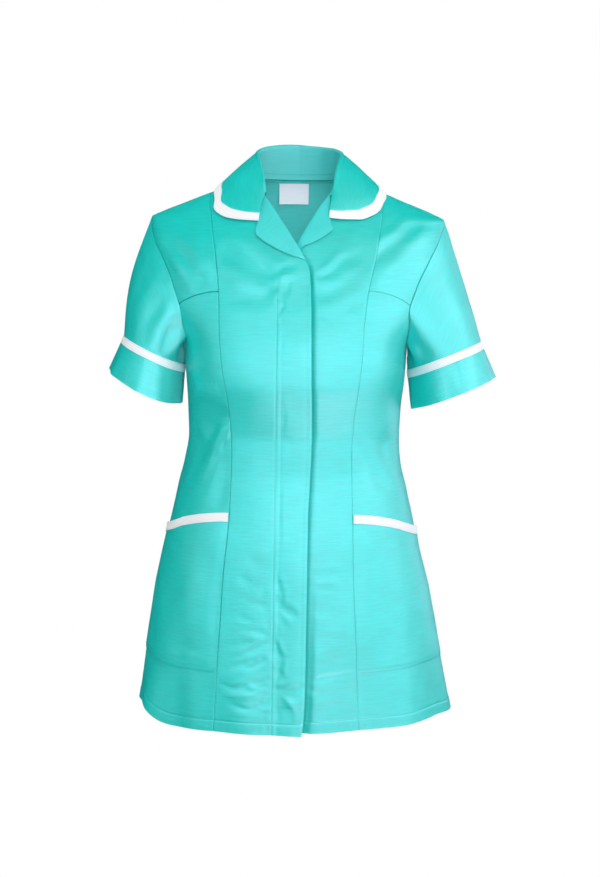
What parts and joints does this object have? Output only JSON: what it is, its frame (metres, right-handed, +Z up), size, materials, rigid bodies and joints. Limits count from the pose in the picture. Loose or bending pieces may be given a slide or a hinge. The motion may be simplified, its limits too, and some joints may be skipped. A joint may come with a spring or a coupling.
{
  "type": "work tunic",
  "caption": "Short-sleeved fitted work tunic with a revere collar, princess seams, contrast trims, two side pockets and a concealed front zip, filled out but empty.",
  "frame": {"origin": "midway between the two neck points, where the shoulder seams meet the collar: the wearer's shoulders and neck hold the garment up there", "axes": "+Z up along the length, -Y towards the front, +X towards the wearer's left"},
  "size_m": [0.5094, 0.2879, 0.7566],
  "materials": {
    "cloth": "aqua poly-cotton twill with a soft sheen",
    "trim": "white poly-cotton twill",
    "label": "pale woven satin, blank",
    "zip": "woven zip tape with moulded teeth",
    "slider": "die-cast zip slider"
  },
  "bodies": {
    "root": {"front_right": "cloth", "front_left": "cloth", "side_upper_right": "cloth", "side_upper_left": "cloth", "side_lower_right": "cloth", "side_lower_left": "cloth", "back": "cloth", "sleeve_right": "cloth", "sleeve_left": "cloth", "sleeve_trim_right": "trim", "sleeve_trim_left": "trim", "cuff_right": "cloth", "cuff_left": "cloth", "collar": "cloth", "collar_trim": "trim", "lapel_right": "cloth", "lapel_left": "cloth", "pocket_right": "cloth", "pocket_left": "cloth", "pocket_trim_right": "trim", "pocket_trim_left": "trim", "label": "label", "zip_tape": "zip", "zip_slider": "slider"}
  },
  "joints": []
}
